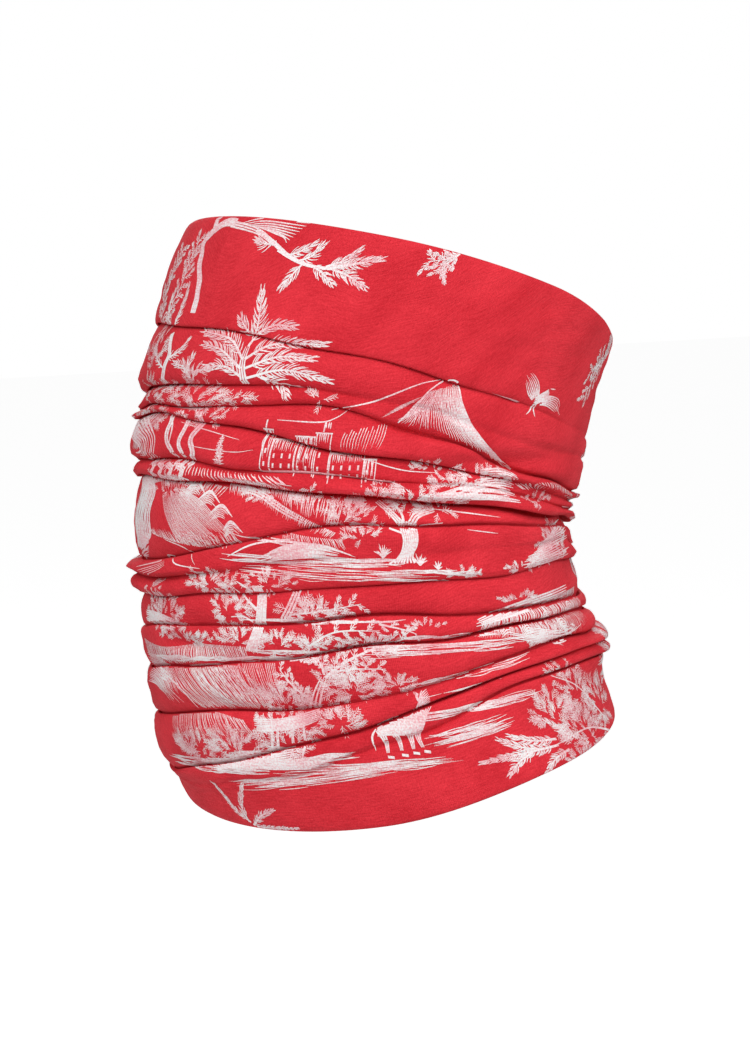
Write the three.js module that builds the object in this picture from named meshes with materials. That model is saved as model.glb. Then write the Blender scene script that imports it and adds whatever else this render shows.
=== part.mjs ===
// A tubular neck gaiter, gathered round a neck: one seamless knitted tube with a smooth band above
// its folds, a smooth band below them, and raw edges that curl in at both rims.
//
// Millimetres, +Z up. The origin is on the neck's axis at the mean height of the lower rim, and the
// wearer faces -Y. Each fold is a sleeve of the same cloth: its lower end laps outside the sleeve
// below it and its upper end tucks inside the sleeve above it, so the stack can be drawn up or down.
import * as THREE from 'three';

// Driving dimensions
const WAIST_RADIUS = 75.5; // the tube's radius where it is narrowest
const WAIST_HEIGHT = 75; // height of that narrowest place
const FLARE = 3.6; // how much the radius grows from the waist, per flare span squared
const FLARE_SPAN = 65;
const FLARE_LIMIT = 4.7; // the most that the flare adds
const BOW = 6.5; // how far the middle of the tube bulges off the neck's axis
const BOW_HEIGHT = 80;
const BOW_RETURN = 10; // how far it comes back, per bow span squared
const BOW_SPAN = 65;
const BOW_SIDE = THREE.MathUtils.degToRad(-25); // direction of the bulge, turned from the front

const UPPER_RIM_HEIGHT = 156.5; // mean height of the upper rim
const UPPER_RIM_RISE = 27.5; // how much higher it is under the chin
const LOWER_RIM_HEIGHT = 1; // mean height of the lower rim
const LOWER_RIM_DROP = 17; // how much lower it is on the chest

// A band's depth from its rim to its crease: its mean, how much more it is at the front, and how
// much more at the wearer's left.
const UPPER_BAND = { mean: 34.5, front: 3.5, left: 0 };
const LOWER_BAND = { mean: 23, front: 4, left: 10 };
const FOLDS = 6;

const WALL = 1; // thickness of a sleeve
const LAP = 2; // how far each sleeve's end reaches past its crease
const LAP_CLEARANCE = 0.9; // radial clearance between two lapped ends
const FOLD_UPRIGHT = 0.44; // share of a fold's height, at each end, that stands upright
const BAND_UPRIGHT = 0.3; // the same at the lapped end of a band
const HEM_UPRIGHT = 0.08; // the same at the end of a band beside its curled edge

const CURL_HEIGHT = 2.6; // height of the curled raw edge
const CURL_WIDTH = 2.4;
const CURL_INSET = 0.7; // how far the curl's middle sits inside the tube's surface
const CURL_SIDES = 8;
const SEAT_GAP = 0.3; // clearance between a band and its curled edge

const SEGMENTS = 48; // steps round the tube

// The tube's surface ---------------------------------------------------------------------------

function tubeRadius(z) {
  const flare = FLARE * ((z - WAIST_HEIGHT) / FLARE_SPAN) ** 2;
  return WAIST_RADIUS + Math.min(flare, FLARE_LIMIT);
}

function tubeAxis(z) {
  const bow = BOW - BOW_RETURN * ((z - BOW_HEIGHT) / BOW_SPAN) ** 2;
  return new THREE.Vector2(bow * Math.sin(BOW_SIDE), -bow * Math.cos(BOW_SIDE));
}

// A point at `turn` round from the front, `out` beyond the tube's mean surface, at height z.
function onTube(turn, out, z) {
  const axis = tubeAxis(z);
  const reach = tubeRadius(z) + out;
  return new THREE.Vector3(axis.x + reach * Math.sin(turn), axis.y - reach * Math.cos(turn), z);
}

// Heights round the tube -----------------------------------------------------------------------

const upperRim = (turn) => UPPER_RIM_HEIGHT + UPPER_RIM_RISE * Math.cos(turn);
const lowerRim = (turn) => LOWER_RIM_HEIGHT - LOWER_RIM_DROP * Math.cos(turn);

const depth = (band, turn) => band.mean + band.front * Math.cos(turn) + band.left * Math.sin(turn);

// Crease 0 is above the lower band and crease FOLDS is under the upper band.
function crease(index, turn) {
  const lowest = lowerRim(turn) + depth(LOWER_BAND, turn);
  const highest = upperRim(turn) - depth(UPPER_BAND, turn);
  return THREE.MathUtils.lerp(lowest, highest, index / FOLDS);
}

// Closed rings ---------------------------------------------------------------------------------

// A ring whose cross-section at each turn is the closed outline section(turn), a list of
// [out, height] points in one order and of one length all the way round.
function ring(name, section, material) {
  const points = section(0).length;
  const plain = Array.from({ length: points + 1 }, (_, index) => {
    const angle = (-index / points) * 2 * Math.PI;
    return new THREE.Vector2(WAIST_RADIUS + Math.cos(angle), Math.sin(angle));
  });
  const geometry = new THREE.LatheGeometry(plain, SEGMENTS);
  const position = geometry.getAttribute('position');
  const uv = geometry.getAttribute('uv');
  for (let vertex = 0; vertex < position.count; vertex += 1) {
    const step = Math.round(uv.getX(vertex) * SEGMENTS) % SEGMENTS;
    const turn = (step / SEGMENTS) * 2 * Math.PI;
    const [out, height] = section(turn)[Math.round(uv.getY(vertex) * points) % points];
    const place = onTube(turn, out, height);
    position.setXYZ(vertex, place.x, place.y, place.z);
  }
  geometry.computeVertexNormals();
  const mesh = new THREE.Mesh(geometry, material);
  mesh.name = name;
  return mesh;
}

// A sleeve of cloth whose lower and upper ends, { height, out, upright }, each have a height, a
// distance beyond the tube's mean surface and the share of the sleeve that keeps that distance.
function sleeve(name, lower, upper, material) {
  const section = (turn) => {
    const bottom = lower.height(turn);
    const top = upper.height(turn);
    const line = [
      [lower.out, bottom],
      [lower.out, THREE.MathUtils.lerp(bottom, top, lower.upright)],
      [upper.out, THREE.MathUtils.lerp(top, bottom, upper.upright)],
      [upper.out, top],
    ];
    const outside = line.map(([out, height]) => [out + WALL / 2, height]);
    const inside = line.map(([out, height]) => [out - WALL / 2, height]);
    return [...outside, ...inside.reverse()];
  };
  return ring(name, section, material);
}

// The end that laps outside the sleeve below crease `index`, and the one that tucks inside the
// sleeve above it.
const lapOut = (WALL + LAP_CLEARANCE) / 2;
const outsideLap = (index, upright) => (
  { height: (turn) => crease(index, turn) - LAP, out: lapOut, upright }
);
const insideLap = (index, upright) => (
  { height: (turn) => crease(index, turn) + LAP, out: -lapOut, upright }
);

// A raw edge curled in: a rounded bead whose middle is at height `middle`.
function curledEdge(name, middle, material) {
  const section = (turn) => Array.from({ length: CURL_SIDES }, (_, index) => {
    const angle = ((index + 0.5) / CURL_SIDES) * 2 * Math.PI;
    const reach = 1 / Math.cos(Math.PI / CURL_SIDES);
    return [
      -CURL_INSET + (CURL_WIDTH / 2) * reach * Math.cos(angle),
      middle(turn) + (CURL_HEIGHT / 2) * reach * Math.sin(angle),
    ];
  });
  return ring(name, section, material);
}

// Materials ------------------------------------------------------------------------------------

const clothRed = () => new THREE.MeshStandardMaterial({ color: 0xd5283a, roughness: 0.85, metalness: 0 });
const foldRed = () => new THREE.MeshStandardMaterial({ color: 0xc91f31, roughness: 0.88, metalness: 0 });
const edgeRed = () => new THREE.MeshStandardMaterial({ color: 0xb01626, roughness: 0.9, metalness: 0 });

// The gaiter -----------------------------------------------------------------------------------

const gaiter = new THREE.Group();
const bandInset = CURL_HEIGHT + SEAT_GAP;
const lowerHem = { height: (turn) => lowerRim(turn) + bandInset, out: 0, upright: HEM_UPRIGHT };
const upperHem = { height: (turn) => upperRim(turn) - bandInset, out: 0, upright: HEM_UPRIGHT };

gaiter.add(curledEdge('lower_edge_curl', (turn) => lowerRim(turn) + CURL_HEIGHT / 2, edgeRed()));
gaiter.add(sleeve('lower_band', lowerHem, insideLap(0, BAND_UPRIGHT), clothRed()));
for (let fold = 0; fold < FOLDS; fold += 1) {
  const lower = outsideLap(fold, FOLD_UPRIGHT);
  const upper = insideLap(fold + 1, FOLD_UPRIGHT);
  gaiter.add(sleeve(`fold_${fold + 1}`, lower, upper, foldRed()));
}
gaiter.add(sleeve('upper_band', outsideLap(FOLDS, BAND_UPRIGHT), upperHem, clothRed()));
gaiter.add(curledEdge('upper_edge_curl', (turn) => upperRim(turn) - CURL_HEIGHT / 2, edgeRed()));

export default gaiter;
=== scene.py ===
# A tubular neck gaiter of fine printed jersey, gathered into folds round a neck.
# Metres, +Z up, wearer facing -Y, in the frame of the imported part.
import math

import bmesh
import bpy
import numpy as np
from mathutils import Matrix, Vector
from mathutils.bvhtree import BVHTree
from mathutils.interpolate import poly_3d_calc


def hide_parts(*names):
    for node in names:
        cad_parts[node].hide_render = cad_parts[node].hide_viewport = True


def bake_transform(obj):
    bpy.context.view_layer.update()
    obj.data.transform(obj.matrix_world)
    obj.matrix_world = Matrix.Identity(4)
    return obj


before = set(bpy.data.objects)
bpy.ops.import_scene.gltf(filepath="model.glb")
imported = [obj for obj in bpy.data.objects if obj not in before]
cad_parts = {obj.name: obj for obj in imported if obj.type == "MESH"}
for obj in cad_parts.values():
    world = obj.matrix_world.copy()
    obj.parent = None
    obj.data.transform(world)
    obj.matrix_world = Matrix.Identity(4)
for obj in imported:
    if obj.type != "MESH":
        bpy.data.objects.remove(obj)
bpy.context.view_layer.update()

MM = 0.001
FULL_TURN = 2 * math.pi

# The tube --------------------------------------------------------------------------------------

# the tube is narrowest at its waist, and widens above and below it
WAIST_RADIUS, WAIST_HEIGHT = 75.5 * MM, 75 * MM
FLARE, FLARE_SPAN, FLARE_LIMIT = 3.6 * MM, 65 * MM, 4.7 * MM
# its middle stands furthest forward at half height, a little towards the wearer's right
BOW, BOW_HEIGHT, BOW_RETURN, BOW_SPAN = 6.5 * MM, 80 * MM, 10 * MM, 65 * MM
BOW_SIDE = math.radians(-25)
CLOTH_ROUND = 0.49  # the tube's circumference, as knitted
CLOTH_LENGTH = 0.42  # its length, as cut, on which the weave is laid out
CLOTH_THICKNESS = 0.55 * MM
FULLNESS = 1.45  # how much further the gathered panels swell than the table below says
DIP = 1.7 * MM  # how far a crease sinks behind the tube's mean surface
DRAWN_IN = 0.9 * MM  # how far the gathers sit in from the smooth bands
SAG = 0.66  # under 1, a panel of cloth swells most below its middle

CREASE_GAP = 2.2 * MM  # least height between two creases
LAP_SHARE = 0.72  # how much of a panel's height the laps beside it may take up together
FULL_LAP = 3 * MM  # from here on a crease counts as wholly doubled back
TUCK_DEPTH = 1.9 * MM  # room behind a lip for the doubled cloth
FADE = 0.85  # how nearly level the cloth runs across a crease that has faded out
TURN_IN, CROWN = 2.6, 0.8  # how sharply a panel turns in to its creases, how full it is
BAND_LIFT = 0.28  # the share of a smooth band, next to its crease, that lifts or sinks
GATHERED_FROM, GATHERED_TO = 0.12, 0.82  # shares of the height between which the tube is gathered
WRINKLES = 150
EDGE_INSET = 1.4 * MM  # how far the cloth turns in at its rims
PANEL_BOTTOM, PANEL_TOP = 2.6 * MM, 2.8 * MM  # height of the turned-in cloth at the two rims

COLUMNS = 168  # steps of the cloth's mesh round the tube


def tube_point(turn, out, z):
    """A point `turn` round from the front, `out` beyond the tube's mean surface, at height z."""
    bow = BOW - BOW_RETURN * ((z - BOW_HEIGHT) / BOW_SPAN) ** 2
    flare = np.minimum(FLARE * ((z - WAIST_HEIGHT) / FLARE_SPAN) ** 2, FLARE_LIMIT)
    reach = WAIST_RADIUS + flare + out
    x = bow * math.sin(BOW_SIDE) + reach * np.sin(turn)
    y = -bow * math.cos(BOW_SIDE) - reach * np.cos(turn)
    return np.stack([x, y, z], axis=-1)


def round_the_tube(values, turn):
    """A smooth closed curve through values, which are set at equal steps from the front."""
    values = np.asarray(values, float)
    place = np.asarray(turn) / FULL_TURN * len(values)
    step = np.floor(place).astype(int)
    t = place - step
    a, b, c, d = (values[(step + k) % len(values)] for k in (-1, 0, 1, 2))
    return b + 0.5 * t * (c - a + t * (2 * a - 5 * b + 4 * c - d + t * (3 * (b - c) + d - a)))


# Rim heights in millimetres at eight equal steps from the front towards the wearer's left.
UPPER_RIM = (184, 178.2, 162.0, 140.6, 130.5, 137.5, 156.8, 177)
LOWER_RIM = (-17.2, -12, 2.6, 12, 17, 13, 1, -12)


def upper_rim(turn):
    return round_the_tube(UPPER_RIM, turn) * MM


def lower_rim(turn):
    return round_the_tube(LOWER_RIM, turn) * MM


def ripple(seed, turn, z, size, low, high, tall=0.0):
    """Smooth unevenness of the cloth: waves that close round the tube, low to high of them."""
    rng = np.random.default_rng(seed)
    total = np.zeros(np.broadcast(turn, z).shape)
    count = 10
    for _ in range(count):
        waves = rng.integers(low, high + 1)
        climb = rng.normal() * tall
        total = total + np.cos(waves * turn + climb * z + rng.uniform(0, FULL_TURN))
    return size * total / math.sqrt(count / 2)


# Creases, from the lower rim up. Heights in millimetres at eight equal steps from the front
# towards the wearer's left. A lap is how far cloth doubles back behind the crease: above 0 the
# cloth above hangs over the cloth below, under 0 the cloth below stands in front. A lip is how
# far the front edge stands proud. The last row says how strong the crease is at each step: at 0
# it has faded out, and the cloth goes smoothly on.
CREASES = [
    ("hem_fold", (-4, 11, 31, 34, 27, 19.5, 5, -7),
     (0, 0, -2, -4, -3, -3, -1, 0), 0.6,
     (0.1, 0.5, 0.8, 0.8, 0.8, 0.8, 0.4, 0.1)),
    ("chest", (2.2, 18.8, 35.6, 38.6, 32.5, 25, 9, -4.5),
     (-4, -6, -7, -6, -3, -4, -4, 0), 0.9,
     (0.6, 1.0, 1.1, 0.9, 0.8, 0.8, 0.8, 0.7)),
    ("collar", (20, 28, 40, 44, 37.5, 32, 21, 12.5),
     (-3, -5, -4, -5, -4, -4, -4, -3), 0.6,
     (0.7, 0.6, 0.7, 0.8, 0.8, 0.8, 0.8, 0.8)),
    ("low_roll", (35.8, 44.2, 50.6, 49.5, 43.5, 39, 33, 28),
     (-4, -6, -4, -2, -3, -3, -4, -4), 0.8,
     (0.6, 1.0, 1.0, 0.7, 0.8, 0.8, 0.8, 0.7)),
    ("roll", (49, 55.3, 55.6, 55.2, 49.5, 47, 43, 41.5),
     (-5, -5, -4, -5, -3, -3, -4, -4), 1.0,
     (0.5, 0.9, 0.9, 0.9, 0.8, 0.8, 0.8, 0.7)),
    ("belt", (60, 66.3, 68.5, 68.2, 56, 55, 53, 54),
     (4, 4, 5, 5, 3, 3, 4, 4), 0.6,
     (0.6, 0.6, 0.6, 0.8, 0.8, 0.8, 0.8, 0.8)),
    ("left_tuck", (65.8, 74.5, 76.5, 73, 61, 61.5, 61.5, 61.5),
     (2, 0, 0, 2, 3, 3, 4, 6), 1.2,
     (0.6, 0.1, 0, 0.3, 0.7, 0.8, 1.0, 1.2)),
    ("waist", (72.5, 85, 83.9, 77.5, 66.5, 68, 71.5, 66),
     (-5, -4, -5, -4, -3, -3, -4, -5), 0.7,
     (0.8, 0.5, 0.6, 0.7, 0.8, 0.8, 0.8, 1.0)),
    ("under_roll", (98.9, 97, 90.4, 80.7, 72, 75, 87, 93),
     (5, 6, 6, 3, 3, 3, 4, 3), 1.1,
     (1.0, 1.9, 1.9, 1.2, 0.9, 0.9, 0.9, 0.9)),
    ("top_roll", (104.6, 102, 95.5, 83.6, 77, 81, 94, 99),
     (2, 2, 1, 2, 3, 3, 3, 3), 0.9,
     (0.7, 0.45, 0.35, 0.5, 0.8, 0.8, 0.9, 0.9)),
    ("throat", (119.2, 111.5, 99.8, 86.6, 82.5, 88, 103, 112.5),
     (3, 6, 4, 3, 3, 3, 4, 3), 1.0,
     (0.8, 1.2, 0.7, 0.6, 0.9, 0.9, 0.9, 0.9)),
    ("slope", (122.6, 123.5, 104.4, 89.6, 88, 94, 108, 116.5),
     (3, 2, -5, -4, 3, 3, 4, 4), 0.8,
     (0.5, 0.8, 1.1, 0.9, 0.8, 0.9, 0.9, 0.6)),
    ("jaw", (129.8, 129, 113, 101, 94, 101, 114, 121.5),
     (4, 1, 0, 0, 3, 3, 4, 5), 0.8,
     (0.9, 0.25, 0.1, 0.3, 0.8, 1, 1, 1)),
    ("chin", (148, 142, 124, 109, 101, 110, 130, 145),
     (4, 4, 2, 0, 3, 3, 4, 4), 0.6,
     (0.8, 0.7, 0.45, 0.15, 0.5, 0.9, 0.9, 0.8)),
]

PANEL_ROWS, UPPER_BAND_ROWS, LOWER_BAND_ROWS = 6, 20, 11


def smooth(x):
    x = np.clip(x, 0, 1)
    return x * x * (3 - 2 * x)


def crease_lines(turn):
    """Height, lap and lip of every crease at each turn, with room kept between the creases."""
    heights, laps, lips, strengths = [], [], [], []
    for k, (_, height, lap, lip, strength) in enumerate(CREASES):
        z = round_the_tube(height, turn) * MM
        z = z + ripple(40 + k, turn, z, 0.45 * MM, 4, 11)
        if heights:
            z = np.maximum(z, heights[-1] + CREASE_GAP)
        heights.append(z)
        firm = np.maximum(round_the_tube(strength, turn) * (1 + ripple(110 + k, turn, z, 0.12, 3, 9)), 0)
        strengths.append(firm)
        laps.append(round_the_tube(lap, turn) * MM * (1 + ripple(70 + k, turn, z, 0.15, 3, 8))
                    * smooth(firm * 1.4))
        lips.append(lip * MM * (1 + ripple(90 + k, turn, z, 0.2, 2, 7)) * firm)
    heights, laps, lips, strengths = (np.array(rows) for rows in (heights, laps, lips, strengths))
    room = np.diff(heights, axis=0, prepend=lower_rim(turn)[None], append=upper_rim(turn)[None])
    up, down = np.maximum(laps, 0), np.maximum(-laps, 0)
    for panel in range(1, len(CREASES)):
        above, below = up[panel - 1], down[panel]
        share = np.minimum(1, LAP_SHARE * room[panel] / np.maximum(above + below, 1e-6))
        up[panel - 1], down[panel] = above * share, below * share
    down[0] = np.minimum(down[0], 0.5 * room[0])
    return heights, up - down, lips, strengths, room


# How far each panel of cloth between two creases swells, in millimetres, at eight steps round.
SWELL = {
    "hem": (0.3, 0.2, 0.2, 0.3, 0.3, 0.2, 0.3, 0.3),
    "hem_fold": (1.0, 1.0, 0.8, 1.6, 1.2, 0.8, 0.8, 1.0),
    "chest": (2.0, 1.6, 1.6, 2.6, 1.2, 1.0, 1.6, 2.2),
    "collar": (1.6, 1.4, 1.0, 1.8, 1.0, 1.0, 1.4, 1.4),
    "low_roll": (1.0, 1.0, 1.0, 1.0, 1.0, 1.0, 1.0, 0.8),
    "roll": (1.6, 1.6, 1.6, 1.0, 1.2, 1.2, 1.6, 1.4),
    "belt": (1.0, 1.0, 1.0, 0.8, 0.8, 0.9, 1.0, 1.0),
    "left_tuck": (1.2, 1.4, 1.2, 0.6, 0.8, 1.0, 1.2, 1.8),
    "waist": (2.6, 2.2, 1.4, 0.2, 1.0, 1.4, 2.2, 2.0),
    "under_roll": (0.8, 0.8, 0.8, 0.6, 0.8, 0.8, 0.9, 0.8),
    "top_roll": (1.8, 0.9, -0.8, 0.3, 1.0, 1.2, 1.5, 1.6),
    "throat": (0.6, 0.9, 0.8, 0.6, 0.8, 0.8, 0.8, 0.7),
    "slope": (1.0, 1.0, 1.0, 1.6, 1.2, 1.0, 1.0, 1.2),
    "jaw": (1.6, 1.4, 1.2, 1.2, 1.0, 1.4, 2.0, 2.6),
    "chin": (0.4, 0.4, 0.3, 0.2, 0.2, 0.3, 0.5, 0.5),
}


def creeping_wrinkles(turn, z):
    """Long shallow ridges that run a little aslant of the folds, each only part of the way."""
    rng = np.random.default_rng(5)
    total = np.zeros(np.broadcast(turn, z).shape)
    for _ in range(WRINKLES):
        middle, share = rng.uniform(0, FULL_TURN), rng.uniform(0.12, 0.8)
        length, wide = rng.uniform(0.12, 0.38), rng.uniform(1.1, 2.4) * MM
        climb, size = rng.normal() * 9 * MM, rng.uniform(-0.7, 0.9) * MM
        off = (turn - middle + math.pi) % FULL_TURN - math.pi
        low, top = lower_rim(turn), upper_rim(turn)
        line = low + (top - low) * share + climb * off
        total = total + size * np.exp(-(off / length) ** 2 - ((z - line) / wide) ** 2)
    return total


# Where the neck underneath lets the tube in or out: degrees round and across, height and its
# reach, and how far out, in millimetres.
DENTS = [(142, 29, 78, 13, -2.6), (140, 24, 38, 7, 4.2), (-33, 23, 146, 12, -1.8),
         (-42, 18, 135, 7, -2.6), (-36, 20, 122, 4, -1.8), (-38, 20, 114.5, 3, 1.8),
         (-38, 20, 60, 3.2, 2.4), (1, 8, 44, 2.2, -3.0), (88, 24, 105, 3.4, -3.2),
         (80, 28, 91.5, 2.6, -2.4)]


def dent(turn, z, middle, wide, height, tall, size):
    off = (turn - math.radians(middle) + math.pi) % FULL_TURN - math.pi
    return size * MM * np.exp(-(off / math.radians(wide)) ** 2
                              - ((z / MM - height) / tall) ** 2)


def cloth_rows(turn):
    """The cloth's rows from the lower rim to the upper one: how far out, and how high, each
    lies at every turn."""
    heights, laps, lips, strengths, room = crease_lines(turn)
    swells = np.array([round_the_tube(values, turn) * MM * (1 if name in ("hem", "chin") else FULLNESS)
                       for name, values in SWELL.items()])
    # where a crease has faded out, the cloth runs on at the height of the swells beside it
    faded = np.clip(1 - strengths, 0, 1)
    filled = FADE * faded * (swells[:-1] + swells[1:]) / 2
    lapped = smooth(np.abs(laps) / FULL_LAP)
    deep = np.maximum(DIP * strengths, (TUCK_DEPTH - lips) * lapped)

    # What each panel starts and ends at: its lip where it stands in front, else the dip.
    def front(k, sign):
        return smooth(0.5 + sign * laps[k] / FULL_LAP)

    first = [0 * turn] + [lips[k] * front(k, 1) - deep[k] * (1 - front(k, 1)) + filled[k]
                          for k in range(len(CREASES))]
    last = [lips[k] * front(k, -1) - deep[k] * (1 - front(k, -1)) + filled[k]
            for k in range(len(CREASES))] + [0 * turn]
    below, above = np.vstack([0 * faded[:1], faded]), np.vstack([faded, 0 * faded[:1]])
    floor = np.vstack([lower_rim(turn)[None], heights])
    ceiling = np.vstack([heights, upper_rim(turn)[None]])

    def panel_out(panel, z):
        """How far out the panel lies at heights z, which may be a row per height."""
        u = np.clip((z - floor[panel]) / (ceiling[panel] - floor[panel]), 0, 1)
        a, b = first[panel], last[panel]
        ease = np.where(a > b, u ** TURN_IN, 1 - (1 - u) ** TURN_IN)
        swell = swells[panel] * (1 - FADE * (below[panel] * (1 - u) + above[panel] * u))
        sag = u ** SAG
        crown = (4 * sag * (1 - sag)) ** CROWN
        out = a + (b - a) * ease + swell * crown
        if panel in (0, len(CREASES)):
            # the wide bands lie smooth, and only near their crease do they lift or sink
            edge = (1 - u) if panel else u
            out = (a if panel else b) * smooth((edge - (1 - BAND_LIFT)) / BAND_LIFT) + swell * crown
        return out + ripple(200 + panel, turn, z, 0.15 * MM, 2, 14, 420) * np.minimum(1, 6 * u * (1 - u))

    outs, zs = [], []

    def add(out, z):
        outs.append(np.broadcast_to(out, turn.shape))
        zs.append(np.broadcast_to(z, turn.shape))

    # lower rim, rolled in
    rim = lower_rim(turn)
    for out, rise in ((-1.4, 0.1), (-0.75, 0.0), (-0.3, 0.45), (-0.08, 1.3)):
        add(panel_out(0, rim + rise * MM) + out * MM, rim + rise * MM)
    reach = np.minimum(1.5 * MM, 0.3 * np.minimum(room[:-1], room[1:]))
    for panel in range(len(CREASES) + 1):
        low = floor[panel] + (PANEL_BOTTOM if panel == 0 else reach[panel - 1])
        high = ceiling[panel] - (PANEL_TOP if panel == len(CREASES) else reach[panel])
        rows = {0: LOWER_BAND_ROWS, len(CREASES): UPPER_BAND_ROWS}.get(panel, PANEL_ROWS)
        for u in np.linspace(0, 1, rows + 2):
            z = low + (high - low) * u
            add(panel_out(panel, z), z)
        if panel == len(CREASES):
            break
        z, lap, lip, sink = heights[panel], laps[panel], lips[panel], deep[panel]
        tall = np.abs(lap)
        # over: the cloth above hangs over; each point is how far out, then how far up
        over = [(-sink * 0.8, -0.7 * MM), (-sink, -0.2 * MM), (-sink - 0.35 * MM, 0.5 * tall),
                (-sink - 0.6 * MM, tall), (-sink - 0.2 * MM, tall + 0.35 * MM),
                (-sink + 0.2 * MM, tall), (-0.3 * sink + 0.3 * (lip - 1.2 * MM), 0.5 * tall),
                (lip - 1.15 * MM, 0.35 * MM), (lip - 0.5 * MM, -0.25 * MM),
                (lip - 0.05 * MM, 0.3 * MM)]
        under = [(out, -rise) for out, rise in reversed(over)]
        plain = [(-sink * share, rise * MM) for share, rise in
                 ((0.45, -0.75), (0.7, -0.5), (0.9, -0.3), (1, -0.15), (1.05, -0.03),
                  (1.05, 0.03), (1, 0.15), (0.9, 0.3), (0.7, 0.5), (0.45, 0.75))]
        for (o_out, o_up), (u_out, u_up), (p_out, p_up) in zip(over, under, plain):
            out = np.where(lap > 0, o_out, u_out) * lapped[panel] + p_out * (1 - lapped[panel])
            up = np.where(lap > 0, o_up, u_up) * lapped[panel] + p_up * (1 - lapped[panel])
            add(out + filled[panel], z + up)
    rim = upper_rim(turn)
    for out, rise in ((-0.08, -1.3), (-0.3, -0.45), (-0.75, 0.0), (-1.4, -0.1)):
        add(panel_out(len(CREASES), rim + rise * MM) + out * MM, rim + rise * MM)
    outs, zs = np.array(outs), np.array(zs)
    # what moves the whole thickness of the gathers moves every row alike
    share = (zs - lower_rim(turn)) / (upper_rim(turn) - lower_rim(turn))
    gathered = smooth((share - GATHERED_FROM) / 0.08) * smooth((GATHERED_TO - share) / 0.1)
    outs = outs - DRAWN_IN * gathered + creeping_wrinkles(turn, zs) * (0.3 + 0.7 * gathered)
    outs = outs + sum(dent(turn, zs, *each) for each in DENTS)
    return outs, zs


turns = np.arange(COLUMNS + 1) * FULL_TURN / COLUMNS
row_out, row_z = cloth_rows(turns)
run = np.hypot(np.diff(row_out, axis=0), np.diff(row_z, axis=0))
row_run = np.vstack([np.zeros(COLUMNS + 1), np.cumsum(run, axis=0)])


def made_piece(name, bm):
    """The bmesh as a smooth-shaded piece of the scene."""
    mesh = bpy.data.meshes.new(name)
    bm.to_mesh(mesh)
    bm.free()
    for polygon in mesh.polygons:
        polygon.use_smooth = True
    piece = bpy.data.objects.new(name, mesh)
    bpy.context.scene.collection.objects.link(piece)
    return piece


def tube_mesh(name, points, runs):
    """A tube from a grid wrapped round: its rows of points, and how far up the cloth each is."""
    rows, columns = points.shape[0], points.shape[1]
    bm = bmesh.new()
    bmesh.ops.create_grid(bm, x_segments=columns - 1, y_segments=rows - 1, size=1)
    bm.verts.ensure_lookup_table()
    uv = bm.loops.layers.uv.new("cloth")
    spot = {}
    for i, vert in enumerate(bm.verts):
        row, column = divmod(i, columns)
        spot[vert.index] = (column / (columns - 1), runs[row, column] / CLOTH_LENGTH)
        vert.co = points[row, column]
    for face in bm.faces:
        for loop in face.loops:
            loop[uv].uv = spot[loop.vert.index]
    bmesh.ops.remove_doubles(bm, verts=bm.verts, dist=1e-7)
    return made_piece(name, bm)


def finish_modifiers(piece):
    """Apply the piece's modifiers, so that its mesh is final."""
    shape = bpy.data.meshes.new_from_object(
        piece.evaluated_get(bpy.context.evaluated_depsgraph_get()))
    piece.modifiers.clear()
    piece.data = shape


points = tube_point(turns[None, :], row_out, row_z)
cloth = tube_mesh("gaiter_cloth", points, row_run)
bpy.context.view_layer.update()

# The print ---------------------------------------------------------------------------------------
# A generic woodland engraving, drawn as tapered strokes. Places are (across, up) in millimetres:
# across is measured round the tube from the front, up is height. Every stroke is laid on the
# cloth's outer face, and breaks where a fold hides it.

ACROSS_PER_TURN = 484.0  # millimetres round the tube on which the drawing is measured
rng = np.random.default_rng(11)
strokes = []


def curve(points, step=0.7):
    """A smooth line through the points, cut into short steps."""
    p = np.asarray(points, float)
    p = np.vstack([2 * p[0] - p[1], p, 2 * p[-1] - p[-2]])
    line = []
    for a, b, c, d in zip(p, p[1:], p[2:], p[3:]):
        pieces = max(2, math.ceil(np.hypot(*(c - b)) / step))
        t = np.arange(pieces)[:, None] / pieces
        line.append(b + 0.5 * t * (c - a + t * (2 * a - 5 * b + 4 * c - d
                                                + t * (3 * (b - c) + d - a))))
    return np.vstack(line + [p[-2:-1]])


FORMS = {
    "leaf": lambda t: np.sin(np.pi * (0.06 + 0.9 * t)) ** 0.7,
    "branch": lambda t: 1 - 0.65 * t,
    "bar": lambda t: 1 + 0 * t,
    "tail": lambda t: (1 - t) ** 0.7 + 0.05,
}


def sideways(line):
    """Which way is left at each point of a line."""
    ahead = np.gradient(line, axis=0)
    return np.stack([-ahead[:, 1], ahead[:, 0]], 1) / np.hypot(*ahead.T)[:, None]


def stroke(points, width, form="leaf"):
    """One tapered stroke along a curve, kept as its left and right edges."""
    line = curve(points)
    t = np.linspace(0, 1, len(line))
    side = sideways(line)
    half = 0.5 * width * FORMS[form](t)[:, None]
    strokes.append((line + side * half, line - side * half))


def step_from(point, heading, length):
    return (point[0] + length * math.cos(heading), point[1] + length * math.sin(heading))


def fan(root, heading, spread, length, count, width=0.34):
    """A cluster of narrow blades from one point."""
    for k in range(count):
        share = (k + 0.5) / count - 0.5
        lean = heading + spread * share + rng.normal() * 0.08
        reach = length * (1 - 0.6 * abs(share)) * rng.uniform(0.8, 1.15)
        bend = lean + 0.9 * share
        middle = step_from(root, lean, reach * 0.5)
        stroke([step_from(root, lean, reach * 0.06), middle, step_from(middle, bend, reach * 0.5)],
               width * rng.uniform(0.8, 1.15))


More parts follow.
